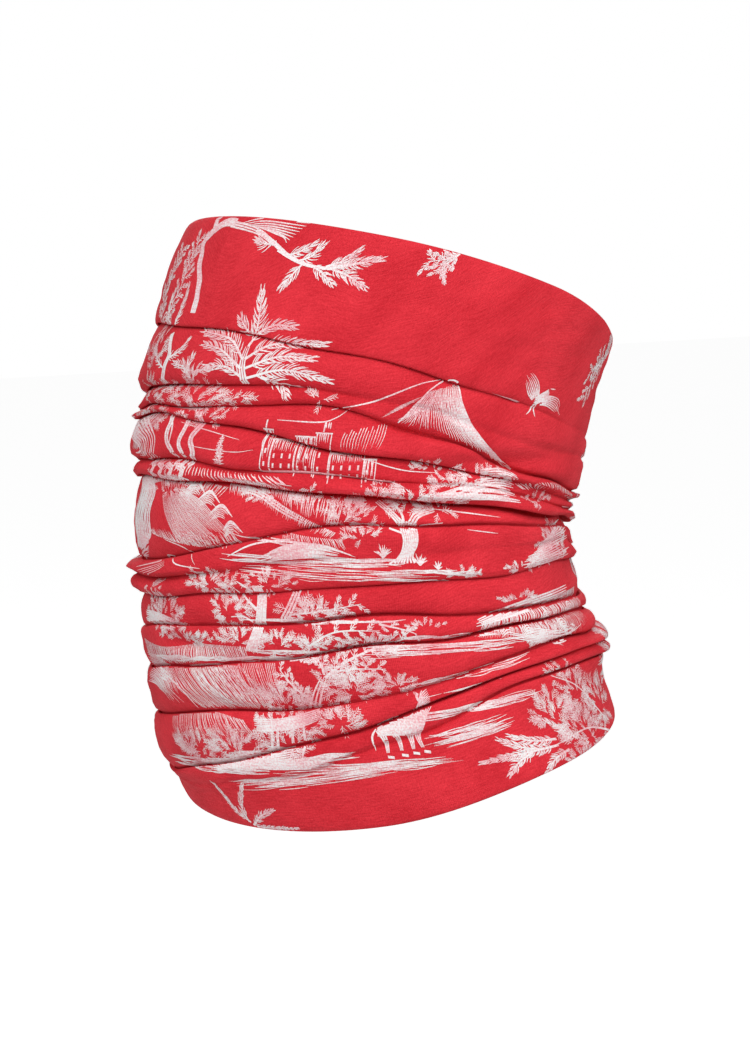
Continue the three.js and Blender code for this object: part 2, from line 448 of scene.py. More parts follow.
def spray(root, heading, length, width=0.3, pairs=4):
    """A small leafy twig: a bent stem with short blades along both sides."""
    bend = rng.normal() * 0.3
    middle = step_from(root, heading, length * 0.5)
    tip = step_from(middle, heading + bend, length * 0.5)
    stroke([root, middle, tip], width * 1.1, "branch")
    for k in range(pairs):
        share = (k + 0.5) / pairs
        foot = [r + (t - r) * share + (m - (r + t) / 2) * 2 * share * (1 - share)
                for r, m, t in zip(root, middle, tip)]
        for side in (-1, 1):
            lean = heading + bend * share + side * rng.uniform(0.45, 0.8)
            reach = length * rng.uniform(0.4, 0.58) * (1.1 - 0.5 * share)
            stroke([foot, step_from(foot, lean, reach)], width * 0.85)


def plume(path, blade, gap=1.0, width=0.38, stem=0.8):
    """A feathery branch: thin curved blades set closely along both sides of a stem."""
    stroke(path, stem, "branch")
    line = curve(path)
    ahead = np.gradient(line, axis=0)
    run = np.append(0, np.cumsum(np.hypot(*np.diff(line, axis=0).T)))
    for at in np.arange(0.1 * run[-1], run[-1] + gap, gap):
        i = min(int(np.searchsorted(run, at)), len(line) - 1)
        heading = math.atan2(ahead[i, 1], ahead[i, 0])
        share = min(at / run[-1], 1)
        for side in (-1, 1):
            reach = blade * math.sin(math.pi * (0.3 + 0.5 * share)) * rng.uniform(0.75, 1.15)
            lean = heading + side * (0.85 - 0.45 * share) * rng.uniform(0.8, 1.2)
            middle = step_from(line[i], lean, reach * 0.5)
            stroke([line[i], middle, step_from(middle, lean - side * 0.3, reach * 0.5)],
                   width * rng.uniform(0.8, 1.15))


def frond(path, leaf, count, width=0.7, lean=0.8):
    """A stem with small plumes along both sides and at its tip."""
    stroke(path, width, "branch")
    line = curve(path)
    ahead = np.gradient(line, axis=0)
    for k in range(count):
        i = int((0.1 + 0.86 * k / max(count - 1, 1)) * (len(line) - 1))
        heading = math.atan2(ahead[i, 1], ahead[i, 0]) + (lean if k % 2 else -lean)
        middle = step_from(line[i], heading, leaf * 0.6)
        tip = step_from(middle, heading + rng.normal() * 0.3, leaf * 0.6)
        plume([line[i], middle, tip], leaf * 0.5, 0.85, 0.3, 0.4)


def foliage(place, wide, tall, count, leaf=2.9, width=0.25):
    """A cloud of leaves that point outward from below its middle."""
    for _ in range(count):
        turn, reach = rng.uniform(0, FULL_TURN), math.sqrt(rng.uniform(0, 1))
        x, y = wide * reach * math.cos(turn), tall * reach * math.sin(turn)
        heading = math.atan2(y + 0.6 * tall, x * 0.8) + rng.normal() * 0.35
        spray((place[0] + x, place[1] + y), heading, leaf * rng.uniform(0.9, 1.5), width)


def hatch(one, other, count, width, form="leaf", uneven=0.0):
    """Strokes side by side from one edge line to the other."""
    one, other = curve(one), curve(other)
    for k in range(count):
        share = (k + 0.5) / count
        a = one[int(share * (len(one) - 1))]
        b = other[int(share * (len(other) - 1))]
        reach = 1 - uneven * rng.uniform(0, 1)
        end = a + (b - a) * reach
        bulge = np.array([-(b - a)[1], (b - a)[0]]) * 0.05 * rng.normal() * min(1, uneven * 3)
        stroke([a, (a + end) / 2 + bulge, end], width * rng.uniform(0.85, 1.15), form)


def sweep(one, other, count, width, form="leaf", ragged=0.1):
    """Strokes that run along two edge lines and fill the field between them."""
    one, other = curve(one), curve(other)
    t = np.linspace(0, 1, 49)
    a, b = (line[(t * (len(line) - 1)).astype(int)] for line in (one, other))
    for k in range(count):
        share = k / max(count - 1, 1)
        line = a + (b - a) * share
        start = int(48 * ragged * rng.uniform(0, 0.6))
        end = 48 - int(48 * ragged * rng.uniform(0, 1))
        stroke(line[start:end:6], width * rng.uniform(0.85, 1.1), form)


def patch(one, other, gap=0.85):
    """A pale field between two edge lines, laid in touching strokes."""
    apart = np.hypot(*(np.array(one[len(one) // 2]) - np.array(other[len(other) // 2])))
    sweep(one, other, max(2, math.ceil(apart / gap)), gap * 1.15, "leaf", 0.12)


def ground(start, end, count, drop=2.0, width=0.3, length=14):
    """Long thin strokes of earth, scattered under a line."""
    for _ in range(count):
        share = rng.uniform(0, 1)
        x = start[0] + (end[0] - start[0]) * share
        y = start[1] + (end[1] - start[1]) * share - drop * rng.uniform(0, 1) ** 1.3
        half = length * rng.uniform(0.25, 0.6)
        slope = (end[1] - start[1]) / (end[0] - start[0])
        stroke([(x - half, y - half * slope), (x, y + rng.normal() * 0.25),
                (x + half, y + half * slope)], width * rng.uniform(0.6, 1.2))


def grass(place, tall, count=9, spread=1.5):
    fan(place, math.pi / 2, spread, tall, count, 0.38)


def trunk(path, width, strips=3):
    """A tree's bark: strips with thin gaps, following the trunk."""
    line = curve(path)
    side = sideways(line)
    each = width / strips
    for k in range(strips):
        stroke((line + side * each * (k - (strips - 1) / 2))[::3], each * 0.88, "bar")


def tree(root, tall, wide, leaves):
    """A whole tree: trunk, boughs and a broken crown."""
    top = (root[0] + rng.normal() * 2, root[1] + tall)
    middle = (root[0] + rng.normal() * 1.5, root[1] + tall * 0.5)
    trunk([(root[0] - 0.8, root[1]), middle, top], 1.9, 2)
    for side in (-1, 1, -0.55, 0.6):
        tip = (top[0] + side * wide * 0.8, top[1] + rng.uniform(-0.1, 0.35) * tall)
        stroke([middle, ((middle[0] + tip[0]) / 2, (middle[1] + tip[1]) / 2 + 1), tip], 0.8,
               "branch")
        foliage(tip, wide * 0.42, tall * 0.2, leaves)
    foliage((top[0], top[1] + tall * 0.15), wide * 0.5, tall * 0.28, leaves)
    for side in (-1, 1):
        grass((root[0] + side * 2.5, root[1]), 3, 7)


def rock(place, wide, tall, count=16):
    """A rounded stone: a pale shell with curved hatching."""
    x, y = place
    crest = [(x - wide, y - tall * 0.2), (x - wide * 0.6, y + tall * 0.7), (x, y + tall),
             (x + wide * 0.6, y + tall * 0.6), (x + wide, y - tall * 0.3)]
    foot = [(x - wide * 0.7, y - tall), (x - wide * 0.2, y - tall * 0.9), (x, y - tall),
            (x + wide * 0.3, y - tall), (x + wide * 0.75, y - tall)]
    stroke(crest, 0.7, "bar")
    hatch(crest, foot, count, 0.55, "tail", 0.45)


def bird(x, y):
    """A small bird on the wing."""
    sweep([(x - 0.5, y + 0.5), (x - 2, y + 4.6), (x - 5.4, y + 8), (x - 10, y + 10.6)],
          [(x - 2.6, y - 0.6), (x - 5.6, y + 1.6), (x - 8, y + 5), (x - 9.8, y + 8.6)],
          8, 0.58, "tail", 0.25)
    sweep([(x + 1, y + 0.6), (x + 6, y + 0.2), (x + 11, y - 1.4), (x + 15, y - 6.6)],
          [(x + 0.6, y - 2), (x + 5, y - 2.8), (x + 10, y - 5), (x + 14.4, y - 7.4)],
          7, 0.58, "tail", 0.25)
    sweep([(x - 2, y + 0.2), (x + 1.6, y + 1.5), (x + 5, y + 3.2)],
          [(x - 2, y - 2), (x + 2, y - 0.6), (x + 5.6, y + 2.2)], 4, 0.85, "leaf", 0)
    stroke([(x + 4.6, y + 2.8), (x + 7.4, y + 2.4)], 0.4)
    stroke([(x - 1, y - 1), (x - 2, y - 3.4), (x - 4, y - 5)], 0.6)
    stroke([(x - 0.5, y - 1), (x - 0.4, y - 4), (x + 0.4, y - 6)], 0.6)


# the tall tree at the front, and the boughs that reach over the upper band
sweep([(-12, 183), (-10.5, 179.5), (-14, 176), (-11.4, 169.5), (-6.4, 161.5), (-4, 154), (-4, 147)],
      [(-10.6, 183), (-8.6, 179.5), (-12.2, 175.6), (-9.4, 169.5), (-4.4, 161.5), (-2, 154), (-2, 147)],
      3, 0.85, "bar", 0)
sweep([(-13.5, 176.8), (-10, 180.2), (-4, 183), (3.5, 182.6)],
      [(-12.5, 175.2), (-9.4, 178.2), (-4, 181), (3.5, 180.8)], 4, 0.8, "bar", 0)
sweep([(-2, 182.4), (7, 181.4), (14, 179.8), (19.5, 177.2), (25, 174)],
      [(-1, 180.8), (7, 179.8), (14, 178.4), (19.5, 176), (25, 173.2)], 3, 0.75, "branch", 0)
stroke([(-11.5, 183), (-3.5, 184), (5, 184.4)], 1.3)
for k in range(8):
    stroke([(4 + 1.6 * k, 182 - 0.26 * k), (13 + 1.5 * k, 183.6 - 0.8 * k),
            (31 - 0.7 * k, 182.4 - 0.9 * k)], 0.46)
stroke([(12, 180), (19.5, 176.8), (27, 172.8)], 1.3, "bar")
stroke([(24, 174), (34, 170), (42, 168.5), (48.5, 169), (57, 171)], 1.4, "branch")
for path in ([(28, 172), (32, 173.4), (36, 175.6)], [(33, 170.4), (37, 172.2), (39, 175.4)],
             [(43, 168.8), (48.5, 171), (51.6, 174)], [(44, 168.6), (51, 166.2), (57.6, 162.6)],
             [(38, 169.2), (42.5, 167), (47, 163.6)], [(35, 169.8), (33, 166.5), (31, 162.6)],
             [(45, 169), (51, 169.8), (59, 171.2)], [(22, 176.4), (18.5, 175.5), (14, 176.8)]):
    plume(path, 3.6, 0.85, 0.36)
# pale leaves at the wearer's right of the trunk
for root, tip in (((-20, 148), (-16, 164)), ((-27, 148), (-33, 160)), ((-17, 163), (-17, 176)),
                  ((-30, 160), (-29, 172))):
    frond([root, ((root[0] + tip[0]) / 2 - 1, (root[1] + tip[1]) / 2), tip], 4.0, 9, 0.6)
sweep([(-27, 146), (-23, 152), (-21, 150), (-15, 151)],
      [(-27, 144), (-22, 149), (-19, 148), (-15, 149)], 3, 0.5)
# the fern, which crosses the first crease
sweep([(26.4, 131), (24.8, 137.5), (25.4, 145)],
      [(28.4, 131), (26.4, 137.5), (26.6, 145)], 3, 0.75, "branch", 0)
for path in ([(26, 143), (27.4, 150), (24.4, 160.5)], [(27, 146.5), (33, 150), (39.6, 149.8)],
             [(27, 146), (23.6, 148.6), (20.6, 151.6)], [(26, 139), (34.5, 144), (51, 144.4)],
             [(26.6, 136), (37, 140), (48, 139.8)], [(28, 133), (40.5, 136), (55, 133)],
             [(33, 133.4), (39, 131.5), (42.6, 128)], [(25.4, 139), (18.5, 145), (5.4, 147)],
             [(25.4, 136), (16.5, 141.5), (8.6, 143)], [(25.8, 133.4), (19.5, 136.4), (12.6, 136)]):
    plume(path, 4.4, 0.95, 0.34, 0.9)
for path in ([(5, 131), (1.6, 135), (-4.6, 136)], [(5.4, 131), (7.4, 134.4), (12.4, 135)],
             [(4, 131), (3, 135), (4, 138.6)]):
    plume(path, 3.8, 0.9, 0.34)
sweep([(-12.8, 127), (-12.8, 133), (-10.2, 138.5), (-12.8, 143.5), (-16.4, 147.6)],
      [(-11.2, 127), (-11.2, 133), (-8.8, 138.5), (-11.4, 143.5), (-15, 148.2)], 3, 0.62, "bar", 0)
for path in ([(-12.4, 134), (-18.5, 137), (-22.5, 142)], [(-10.6, 137), (-3, 140.5), (-1, 144)],
             [(-13.4, 147), (-10.6, 152.5), (-11.4, 161)], [(-15, 147.6), (-20, 151), (-22, 157)]):
    plume(path, 2.8, 0.95, 0.34)
foliage((-19, 140), 7, 5, 22)
foliage((-30, 138), 7, 4, 14)
# undergrowth between the first folds
for x, y, wide, tall, count, leaf in (
        (8, 126.5, 22, 3.0, 60, 3.0), (-22, 125, 12, 3.6, 30, 2.8), (12, 119.5, 12, 2.0, 16, 2.6),
        (54, 128, 3, 2, 5, 3)):
    foliage((x, y), wide, tall, count, leaf)
# three slim trees
trunk([(-11, 122), (-5.6, 117), (-4.6, 111), (-0.6, 107), (0.4, 102)], 2.1, 2)
trunk([(-2, 123), (3.4, 117), (2.6, 110.5), (4.8, 106.5), (2.6, 102)], 2.1, 2)
trunk([(4, 125), (11, 119), (8.2, 112.5), (10, 107.6), (5.6, 102)], 2.3, 2)
stroke([(-8, 119), (-3, 115), (-2.6, 110)], 0.7)
sweep([(-50, 116), (-34, 114), (-24, 109), (-32, 103)],
      [(-50, 111), (-38, 110), (-32, 107.6), (-36, 104)],
      9, 0.7, "leaf", 0.1)
sweep([(-36, 117), (-24, 116), (-13, 112), (-14, 104), (-26, 102)],
      [(-38, 109), (-30, 108), (-25, 107), (-25, 105), (-34, 104)], 9, 0.8, "leaf", 0.2)
hatch([(-38, 118), (-26, 119), (-12, 118)], [(-38, 111), (-28, 112), (-16, 113)], 26, 0.5, "leaf", 0.4)
foliage((-19, 117), 9, 2.6, 26)
for up in range(8):
    wide = 2.4 - 0.27 * up
    fan((21.4, 104.5 + 1.2 * up), math.pi / 2, 2.8, wide + 0.8, 6, 0.4)
stroke([(0, 117), (16, 115), (28, 113)], 0.3)
stroke([(8, 110), (26, 109), (34, 110)], 0.3)


def keep(x, y):
    """A plain old fortified house: towers and halls with small openings."""
    walls = [(0, 3, 0, 14, 0.8), (3.2, 8, 0, 10.6, 0.4), (11.4, 6, -1, 13, 0.9),
             (18, 4.6, -1.4, 14.6, 0.25), (23, 11, -3, 9.4, 0.35), (34, 4, -4, 8.6, 0.8)]
    for left, wide, low, tall, pale in walls:
        foot, top = y + low, y + low + tall
        left = x + left
        for across in (left, left + wide):
            stroke([(across, foot), (across + 0.1, top)], 0.34, "bar")
        stroke([(left - 0.5, top), (left + wide + 0.4, top - 0.2)], 0.5, "bar")
        hatch([(left + 0.3, top), (left + wide - 0.2, top)],
              [(left + 0.3, top - tall * pale), (left + wide - 0.2, top - tall * pale * 0.9)],
              int(wide / 0.5), 0.36, "tail", 0.3)
        for floor_share in (0.15, 0.45):
            for across in np.arange(left + 1.3, left + wide - 0.8, 2.7):
                sill = foot + tall * floor_share
                stroke([(across, sill), (across, sill + 1.5)], 0.6, "bar")
    for turret in (x + 0.6, x + 20):
        stroke([(turret, y + 13.6), (turret + 0.2, y + 17)], 0.5, "bar")
    hatch([(x + 20.2, y + 17), (x + 22.4, y + 16.4)],
          [(x + 20.6, y + 14.8), (x + 22.6, y + 14.4)], 3, 0.5)


keep(37, 103)
# far hills and the mountain
stroke([(41, 120), (55, 119.6), (60, 121), (64, 124)], 0.42)
stroke([(58, 123.5), (70, 126), (75, 128), (84, 131.8), (91, 133)], 0.55)
sweep([(64, 117), (63, 113), (64, 108)], [(77, 119), (76, 114), (74, 109)], 15, 0.26, "tail", 0.3)
sweep([(78, 124), (84, 127), (87, 128)], [(74, 121), (80, 124), (84, 126)], 4, 0.24)
sweep([(88.4, 129.6), (85, 126.4), (80.6, 119.6)],
      [(97, 131.6), (100, 124), (106, 117), (113, 110.5), (126, 102.4)], 34, 0.34, "leaf", 0.06)
sweep([(84, 125), (82, 121.6), (77, 119.4)], [(90, 128), (89, 122), (91, 115)], 14, 0.34, "leaf", 0.15)
stroke([(80, 119.4), (84.4, 125), (88, 130), (93, 132.8), (97, 131.4), (99.6, 125), (105, 117.6),
        (112, 111), (128, 102)], 0.5, "bar")
sweep([(98, 129), (101, 123), (107, 116), (114, 110), (127, 102.2)],
      [(99, 125), (103, 119), (109, 113), (116, 107.6), (127, 101.6)], 7, 0.45, "leaf", 0.2)
bird(130, 125.4)
frond([(84, 173.5), (80, 171.6), (74, 170.6)], 3.4, 8, 0.6)
frond([(83, 173), (80, 170), (79, 166.6)], 3.2, 8, 0.6)
frond([(170, 134), (172, 140), (169, 146)], 3.8, 8)
frond([(174, 138), (166, 132), (158, 123)], 3.8, 11)
frond([(172, 133), (163, 134), (157, 132)], 3.2, 8)
foliage((166, 136), 5, 5, 16)
# hedges and water beyond the hills
foliage((96, 104.5), 8, 1.4, 16, 1.8, 0.3)
foliage((112, 99.5), 12, 3.4, 44, 2.2)
patch([(94, 96), (115, 98), (134, 93)], [(96, 94), (115, 93.6), (134, 90.6)])
sweep([(112, 103), (122, 102.6), (130, 98)], [(112, 97.6), (122, 97.4), (132, 95)], 8, 0.62, "leaf", 0.2)
foliage((104, 98.5), 12, 2.4, 34, 2.2)
foliage((141, 91.5), 9, 1.6, 18, 2.0)
hatch([(128, 97.5), (150, 96), (170, 90)], [(133, 95), (152, 93), (172, 88)], 26, 0.36, "leaf", 0.3)
stroke([(70, 108), (84, 104), (97, 102.6)], 0.35)
stroke([(78, 101), (84, 99), (88, 96)], 0.3)
# roll under the trunks: hatched bank
hatch([(-14, 105), (2, 103.5), (20, 102.6), (44, 101.6)], [(-20, 101), (6, 99.6), (30, 98), (52, 98)],
      44, 0.4, "leaf", 0.35)
for k in range(4):
    x = -17 + 6 * k
    trunk([(x, 103), (x + 4.4, 101.4), (x + 2.6, 99), (x + 7.6, 97.4)], 1.9, 3)
# stones and the bank with its rounded edge
sweep([(-40, 96), (-30, 92), (-34, 84), (-30, 76), (-36, 69)],
      [(-22, 97), (-14, 93), (-16, 84), (-14, 79), (-26, 70)],
      13, 1.15, "bar", 0.05)
hatch([(-22, 80), (-16, 76), (-20, 70)], [(-32, 78), (-28, 72), (-32, 67)], 18, 0.4, "leaf", 0.2)
foliage((-4, 96), 14, 2.6, 40, 2.4)
hatch([(-12, 98), (8, 98.4), (24, 97)], [(-8, 93), (6, 93), (20, 92)], 44, 0.26, "tail", 0.5)
sweep([(-8, 93), (-2, 84), (6, 78), (16, 76.4)],
      [(4, 95), (14, 92), (23, 86), (30, 79.6)], 36, 0.28, "leaf", 0.2)
for x, y, wide in ((10.2, 96.4, 5.4), (17.6, 93.8, 5.4), (23.8, 89.8, 5.2), (28.4, 84.8, 4.2)):
    stroke([(x - wide, y - 1.4), (x - 1, y + 1.6), (x + wide * 0.8, y - 1.8)], 0.8)
    sweep([(x - wide, y - 2), (x - 1, y + 1), (x + wide * 0.8, y - 2)],
          [(x - wide * 0.9, y - 4), (x - 1, y - 2), (x + wide * 0.7, y - 4)], 6, 0.34, "leaf", 0.3)
hatch([(-12, 79), (6, 77.4), (22, 77), (31, 79.8)],
      [(-16, 81), (0, 82), (18, 83), (28, 84)], 60, 0.3, "tail", 0.4)
bank = [(24, 98.4), (36, 97), (48, 91.4), (58, 86.4), (64, 84)]
hatch(bank, [(25, 94.6), (35, 93), (45, 88.4), (55, 84), (62, 82)], 96, 0.36, "tail", 0.4)
hatch([(22, 101), (36, 100), (52, 97), (66, 93)], bank, 90, 0.3, "leaf", 0.5)
sweep([(24, 98), (36, 96.6), (48, 91), (60, 85.4)],
      [(25, 96.6), (36, 95), (47, 89.6), (59, 84.6)], 3, 0.5, "leaf", 0.2)
foliage((44, 96), 14, 2.4, 34, 2.0, 0.26)
# the spreading tree in the middle
for x, y, wide, tall, count, leaf in (
        (66, 90, 7, 4.4, 36, 2.4), (77, 94.5, 7, 3.2, 36, 2.6), (88, 95, 7, 3.0, 34, 2.6),
        (98, 92, 8, 3.2, 32, 2.6), (72, 84, 6, 2.8, 18, 2.4)):
    foliage((x, y), wide, tall, count, leaf)
sweep([(84, 88), (85.6, 80.6), (83.6, 75.6), (79, 73.2)],
      [(89.8, 87), (90, 80.6), (88.6, 76.4), (90, 72.4)], 8, 0.62, "bar", 0.04)
sweep([(84, 86.6), (80.4, 90.4), (74.6, 95)], [(86, 86.6), (81.6, 91), (75.6, 95.6)], 3, 0.7, "branch", 0)
sweep([(87, 87), (90, 90), (99, 91.4)], [(89, 86), (91, 88.8), (99, 90.6)], 3, 0.7, "branch", 0)
stroke([(85.6, 86.6), (85, 90), (82, 94)], 1.0, "branch")
stroke([(86.6, 84), (92, 86), (99, 86.6)], 0.8, "branch")
stroke([(85, 84), (79, 86), (72, 87)], 0.7, "branch")
grass((79, 75.6), 5.0, 12)
grass((91, 73), 4.0, 12)
grass((97, 71.6), 3, 10)
foliage((106, 69.6), 6, 1.1, 20, 1.8)
sweep([(38, 75.6), (48, 79.8), (60, 80), (73, 75.4)],
      [(37, 73.6), (48, 75.4), (60, 76), (74, 74.6)], 11, 0.5, "leaf", 0.3)
hatch([(46, 84), (56, 82.6), (66, 82)], [(47, 79), (56, 79), (68, 78)], 40, 0.26, "tail", 0.4)
for x, y, x_end, y_end, count, drop, width, length in (
        (30, 76.5, 82, 75.4, 60, 2.6, 0.32, 14), (36, 73.6, 96, 71.6, 60, 4.6, 0.26, 16),
        (96, 72, 112, 69.4, 12, 1.6, 0.4, 10), (28, 83, 56, 80.6, 16, 1.6, 0.4, 12)):
    ground((x, y), (x_end, y_end), count, drop, width, length)
stroke([(26, 75), (36, 79.6), (50, 82)], 0.6)
stroke([(-28, 66), (-10, 70), (-4, 72.6), (2, 70.4), (14, 70)], 0.55)
sweep([(-26, 65), (-10, 69), (-4, 71.6)], [(-20, 64), (-10, 67), (-3, 70)], 4, 0.26)
stroke([(-4, 78), (6, 76), (12, 71)], 0.4)
stroke([(96, 91), (110, 89), (122, 87)], 0.4)
stroke([(108, 84), (120, 82)], 0.35)
# bushes at the far edge
foliage((152, 77), 10, 4.4, 46, 2.6)
sweep([(140, 76), (156, 81), (172, 82)], [(128, 69.6), (150, 70), (172, 71)], 14, 0.62, "leaf", 0.3)
foliage((130, 70), 10, 0.9, 20, 1.8)
foliage((150, 71), 16, 1.2, 26, 2.0)
# the wood under the belt
for x, y, wide, tall, count, leaf in (
        (18, 66, 11, 2.4, 42, 2.4), (41, 67.4, 8, 2.4, 26, 2.2), (-12, 53, 13, 5.6, 80, 2.4),
        (-14, 61, 6, 1.6, 10, 2)):
    foliage((x, y), wide, tall, count, leaf)
sweep([(35, 66), (35.8, 60), (34.2, 53), (31.4, 47), (27.6, 41)],
      [(37.6, 66), (38.6, 60), (37.2, 53), (34.6, 47), (32.6, 41)], 5, 0.74, "bar", 0.02)
stroke([(35.6, 58), (31, 61.4), (27.6, 65)], 1.0, "branch")
stroke([(35, 53), (30, 55.4), (25, 55)], 0.8, "branch")
sweep([(49, 65), (46, 59), (42.6, 54)], [(51, 65), (48.4, 59), (44.8, 54)], 3, 0.72, "bar", 0.02)
stroke([(37, 62), (33, 65), (29, 67)], 1.0, "branch")
for x, y, wide, tall, count, leaf in (
        (24, 57.6, 8, 3.2, 34, 2.5), (29, 62, 5, 2.0, 14, 2.3), (54, 58, 10, 2.6, 44, 2.8)):
    foliage((x, y), wide, tall, count, leaf)
frond([(47, 57), (58, 58.6), (71, 61)], 3.4, 9)
frond([(52, 47), (62, 52), (76, 52.5)], 3.2, 9)
for x, y, wide, tall, count, leaf in (
        (28, 48.6, 9, 2.8, 36, 2.5), (42, 47.4, 7, 3.0, 30, 2.4), (56, 46.8, 8, 2.0, 24, 2.2),
        (0, 46, 14, 2.6, 40, 2.4)):
    foliage((x, y), wide, tall, count, leaf)
patch([(-30, 51), (-12, 51.6), (4, 50.4)], [(-30, 47.6), (-14, 47.6), (0, 48)])
ground((34, 55), (82, 55.8), 22, 0.9, 0.5, 12)
foliage((129, 60), 8, 1.2, 20, 2.0)
foliage((92, 53.4), 6, 0.8, 10, 1.8)
frond([(76, 54.6), (84, 52.6), (88, 51)], 2.2, 5)
# the stony slope by the far edge
sweep([(108, 54), (124, 57.4), (140, 59.4), (166, 61)],
      [(109, 52.4), (124, 54.6), (140, 56), (166, 58)], 5, 0.72, "leaf", 0.1)
hatch([(112, 54), (124, 56), (144, 58), (170, 59)],
      [(110, 48), (128, 45), (148, 43), (172, 47)], 110, 0.36, "tail", 0.2)
sweep([(122, 52), (136, 49), (150, 47), (168, 51)],
      [(120, 48), (134, 45), (148, 43), (168, 46)], 9, 0.5, "leaf", 0.4)
for x, y in ((122, 50), (131, 49), (141, 52), (150, 49), (158, 53), (137, 45.6)):
    sweep([(x - 4, y), (x, y + 2.4), (x + 4, y)],
          [(x - 3.6, y - 2), (x, y - 0.6), (x + 4, y - 2)], 5, 0.44, "leaf", 0.2)
foliage((142, 47), 14, 2.8, 50, 2.0)
ground((72, 47), (126, 47.6), 60, 3.4, 0.3, 15)
ground((84, 50), (116, 50.4), 22, 1.4, 0.4, 10)
foliage((72, 48.4), 8, 1.2, 22, 2.0)
# folded stripes of the low roll
hatch([(-32, 41), (-12, 41), (10, 44.6), (30, 45.6)], [(-30, 35), (-8, 35.6), (14, 39.6), (30, 41.6)],
      110, 0.3, "bar", 0.2)
ground((-20, 37.4), (50, 43.8), 60, 1.2, 0.42, 12)
ground((34, 45), (60, 45.6), 20, 0.9, 0.4, 10)
# rock and slope beneath
sweep([(-34, 36), (-18, 36), (-8, 31), (-4, 27), (3, 22.6)],
      [(-34, 26), (-22, 27), (-15, 25), (-12, 22), (-12, 20)],
      18, 0.42, "leaf", 0.2)
sweep([(-20, 33), (-10, 31.6), (-7, 28)], [(-18, 30), (-12, 29.6), (-10, 28)], 4, 0.7)
stroke([(-10, 31), (-2, 28), (3, 22.5)], 0.7)
hatch([(-12, 33.5), (6, 37.5), (24, 39.5), (40, 41)], [(6.5, 22.5), (20, 24), (32, 25), (42, 27)],
      70, 0.2, "bar", 0.12)
hatch([(2, 36.5), (14, 38.5), (26, 39.8)], [(20, 24), (30, 25), (38, 26)], 36, 0.26, "leaf", 0.3)
foliage((41, 29.6), 9, 3.8, 56, 2.6)
sweep([(48, 26), (52, 33), (56, 39)], [(51.6, 27), (54.4, 33), (57.6, 39)], 3, 0.8, "branch", 0)
frond([(56, 37), (63, 42), (72, 46), (84, 49.6)], 3.8, 14, 1.0)
frond([(56, 38), (55, 42), (50, 45)], 3.0, 9, 0.8)
frond([(50, 29), (45, 34), (41, 39)], 3.0, 9, 0.9)
frond([(58, 39), (66, 40), (76, 40)], 3.0, 9, 0.7)
for x, y, wide, tall, count, leaf in (
        (64, 33.4, 10, 2.8, 60, 2.6), (79, 35, 7, 1.6, 26, 2.4), (62, 38, 8, 3, 26, 2.2)):
    foliage((x, y), wide, tall, count, leaf)
# pale earth, the lower hem of the picture
for across in (32, 34, 39, 43):
    stroke([(across + 3, 23), (across + 1.6, 16), (across - 1, 9.6)], 0.9)
foliage((38, 15), 9, 3.6, 44, 2.6)
patch([(28, 21.6), (40, 23), (56, 28)], [(28, 18), (42, 20), (54, 24.4)], 0.6)
patch([(16, 10), (30, 11.4), (46, 15)], [(14, 7), (30, 7.6), (46, 11)], 0.6)
for x, y, wide, tall, count, leaf in (
        (2, 9, 13, 3.4, 60, 2.8), (18, 12, 12, 4.0, 56, 2.8), (40, 21, 11, 4.0, 40, 2.6),
        (58, 24, 8, 2.6, 34, 2.6)):
    foliage((x, y), wide, tall, count, leaf)
hatch([(-16, 18), (-4, 20), (10, 22), (24, 21)], [(-11, 10.5), (6, 11), (18, 15), (30, 15)], 56, 0.24,
      "tail", 0.2)
grass((-9, 7), 7, 16, 2.4)
grass((-3, 6.4), 6, 12, 2.2)
for x, y, x_end, y_end, count, drop, width, length in (
        (-16, 4, 24, 6.4, 70, 3.6, 0.4, 14), (4, 5.6, 46, 9.6, 90, 2.6, 0.4, 18),
        (34, 9, 56, 12.4, 34, 2.2, 0.4, 16), (40, 7.4, 84, 11, 56, 3.2, 0.24, 18),
        (90, 17, 112, 21.6, 30, 3, 0.24, 16), (16, 0, 66, 9, 60, 4.0, 0.26, 20),
        (80, 25, 124, 29.6, 56, 2.4, 0.3, 16), (91, 18, 106, 20.6, 26, 2.6, 0.28, 12),
        (84, 35, 124, 41.4, 24, 1.8, 0.24, 14), (88, 31, 112, 35, 10, 1.0, 0.24, 12),
        (88, 18.6, 108, 22.6, 16, 1.4, 0.3, 12)):
    ground((x, y), (x_end, y_end), count, drop, width, length)
# a hound standing in the meadow
sweep([(69, 21.5), (74, 23.8), (79.5, 24.6), (83, 27), (85, 31), (87.4, 33.6), (91.4, 31.8)],
      [(68.4, 18.4), (73, 18.8), (78, 18.6), (82, 19), (85, 24), (88, 27.4), (91, 30)],
      13, 0.62, "leaf", 0)
stroke([(85.6, 33.4), (84, 31), (84.4, 28.6)], 0.9)
for hip, knee, foot in (((69.4, 20), (70.4, 16.5), (69.6, 11.4)), ((73, 20), (74.6, 16.8), (74.2, 12)),
                        ((78.6, 20), (78.6, 16.4), (78, 12.6)), ((81.6, 20.4), (81, 17), (81.6, 13))):
    sweep([(hip[0] - 1, hip[1]), (knee[0] - 0.5, knee[1]), foot],
          [(hip[0] + 1.2, hip[1]), (knee[0] + 0.6, knee[1]), (foot[0] + 0.6, foot[1])],
          3, 0.7, "branch", 0)
    stroke([foot, (foot[0] + 2, foot[1] - 0.3)], 0.9, "bar")
stroke([(68.8, 21), (66.6, 18), (66.4, 13.4)], 0.6)
